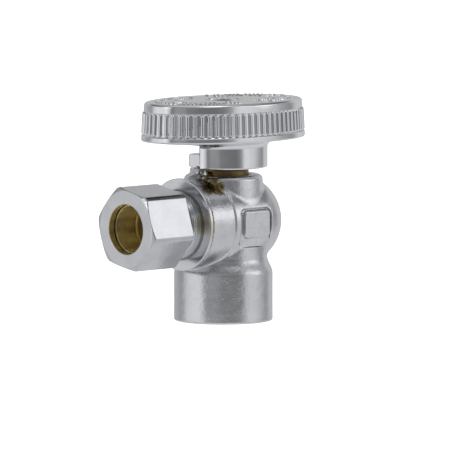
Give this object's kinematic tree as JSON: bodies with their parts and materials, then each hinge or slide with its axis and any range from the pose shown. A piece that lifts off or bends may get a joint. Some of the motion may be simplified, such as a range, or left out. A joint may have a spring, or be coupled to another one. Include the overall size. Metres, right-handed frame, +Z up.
{
  "type": "angle stop valve",
  "caption": "Chromed quarter-turn angle stop valve: threaded inlet barrel below, compression nut outlet in front, oval ribbed handle on top.",
  "frame": {"origin": "centre of the inlet's rim, on the barrel's bottom face", "axes": "+Z up along the inlet and the stem, -Y towards the outlet, +X to the right when the outlet points at the viewer's left rear"},
  "size_m": [0.0266, 0.0473, 0.0464],
  "materials": {
    "body_plating": "satin chrome plate over forged brass",
    "adapter_plating": "chrome plate over turned brass",
    "adapter_ring_rubber": "smooth moulded rubber",
    "ball_plating": "polished chrome plate over brass",
    "front_seat_ptfe": "white PTFE",
    "rear_seat_ptfe": "white PTFE",
    "stem_brass": "turned brass",
    "stem_ring_rubber": "smooth moulded rubber",
    "thrust_washer_ptfe": "white PTFE",
    "gland_brass": "turned brass, unplated",
    "handle_plating": "satin chrome plate over die-cast zinc",
    "screw_steel": "bright plated steel",
    "lock_washer_steel": "plated spring steel",
    "nut_plating": "polished chrome plate over brass",
    "sleeve_brass": "turned brass, unplated"
  },
  "bodies": {
    "body": {"valve_body": "body_plating", "outlet_adapter": "adapter_plating", "adapter_o_ring": "adapter_ring_rubber", "front_seat": "front_seat_ptfe", "rear_seat": "rear_seat_ptfe", "stem_thrust_washer": "thrust_washer_ptfe", "stem_gland": "gland_brass"},
    "handle": {"handle": "handle_plating", "handle_screw": "screw_steel", "screw_lock_washer": "lock_washer_steel", "stem": "stem_brass", "stem_o_ring": "stem_ring_rubber"},
    "ball": {"ball": "ball_plating"},
    "sleeve": {"compression_sleeve": "sleeve_brass"},
    "nut": {"compression_nut": "nut_plating"}
  },
  "joints": [
    {"name": "handle_turn", "type": "hinge", "parent": "body", "child": "handle", "pos_m": [0, 0, 0.032], "axis": [0, 0, 1], "range_deg": [-90, 0]},
    {"name": "ball_turn", "type": "hinge", "parent": "body", "child": "ball", "pos_m": [0, 0, 0.0207], "axis": [0, 0, 1], "range_deg": [-90, 0]},
    {"name": "sleeve_slide", "type": "slide", "parent": "body", "child": "sleeve", "axis": [0, -1, 0], "range_m": [0, 0.0038]},
    {"name": "nut_turn", "type": "hinge", "parent": "sleeve", "child": "nut", "pos_m": [0, -0.022, 0.0207], "axis": [0, -1, 0], "range_deg": [0, 1260]}
  ],
  "couplings": [
    {"joint": "ball_turn", "follows": "handle_turn", "ratio": 1},
    {"joint": "sleeve_slide", "follows": "nut_turn", "m_per_rad": 0.00016844}
  ]
}
